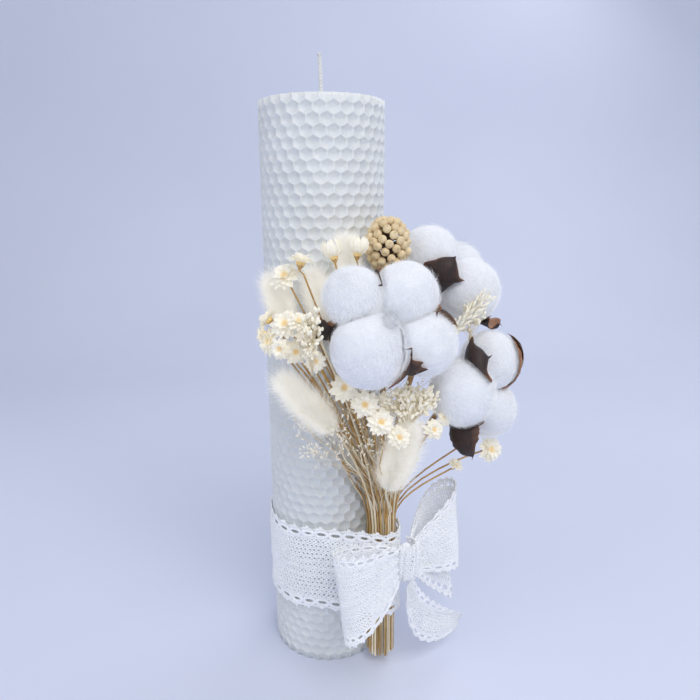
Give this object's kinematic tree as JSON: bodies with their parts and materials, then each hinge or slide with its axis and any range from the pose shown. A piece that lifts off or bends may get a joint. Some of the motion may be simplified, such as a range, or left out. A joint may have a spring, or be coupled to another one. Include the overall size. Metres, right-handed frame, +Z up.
{
  "type": "unity candle",
  "caption": "Pillar unity candle rolled from white honeycomb wax sheet, with a dried posy of cotton bolls, bunny tails, star flowers and berries tied on by a lace ribbon bow.",
  "frame": {"origin": "centre of the candle's foot, on the surface it stands on", "axes": "+Z up along the candle; -Y is the front, the side the candle is shown from; the posy is tied on towards +X -Y"},
  "size_m": [0.1139, 0.101, 0.28],
  "materials": {
    "wax": "satin, faintly translucent beeswax foundation, bleached white",
    "wick": "braided cotton, waxed",
    "lace": "white crocheted cotton lace",
    "twine": "jute thread",
    "bead": "clear, polished",
    "cotton": "loose white cotton lint",
    "burr": "dry dark brown husk, tan inside",
    "stalk": "dry brown stalk",
    "bunny": "bleached hairy grass head",
    "straw": "dry straw",
    "petal": "dry papery bracts",
    "berry": "dry seed capsules, satin",
    "filler": "tiny bleached buds",
    "grass": "fine pale stems"
  },
  "bodies": {
    "candle": {"wick": "wick", "core_roll": "wax", "outer_sheet": "wax"},
    "posy": {"ribbon_band": "lace", "bow_knot": "lace", "bow_loop_left": "lace", "bow_loop_right": "lace", "bow_tail_upper": "lace", "bow_tail_lower": "lace", "stem_tie": "twine", "dew_bead": "bead", "front_boll_lint": "cotton", "front_boll_burr": "burr", "front_boll_stem": "stalk", "right_boll_lint": "cotton", "right_boll_burr": "burr", "right_boll_stem": "stalk", "lower_boll_lint": "cotton", "lower_boll_burr": "burr", "lower_boll_stem": "stalk", "bunny_tail_left": "bunny", "bunny_tail_centre": "bunny", "bunny_tail_back": "bunny", "bunny_tail_outer": "bunny", "bunny_tail_high": "bunny", "bunny_tail_stalks": "straw", "star_left_heads": "petal", "star_left_stems": "straw", "star_centre_heads": "petal", "star_centre_stems": "straw", "star_right_heads": "petal", "star_right_stems": "straw", "star_upper_heads": "petal", "star_upper_stems": "straw", "star_bud_heads": "petal", "star_bud_stems": "straw", "berries": "berry", "berry_stem": "stalk", "filler_left_buds": "filler", "filler_left_stems": "grass", "filler_centre_buds": "filler", "filler_centre_stems": "grass", "filler_right_buds": "filler", "filler_right_stems": "grass", "straw_stems": "straw"}
  },
  "joints": [
    {"name": "posy_slip", "type": "slide", "parent": "candle", "child": "posy", "axis": [0, 0, 1], "range_m": [0, 0.23]}
  ]
}
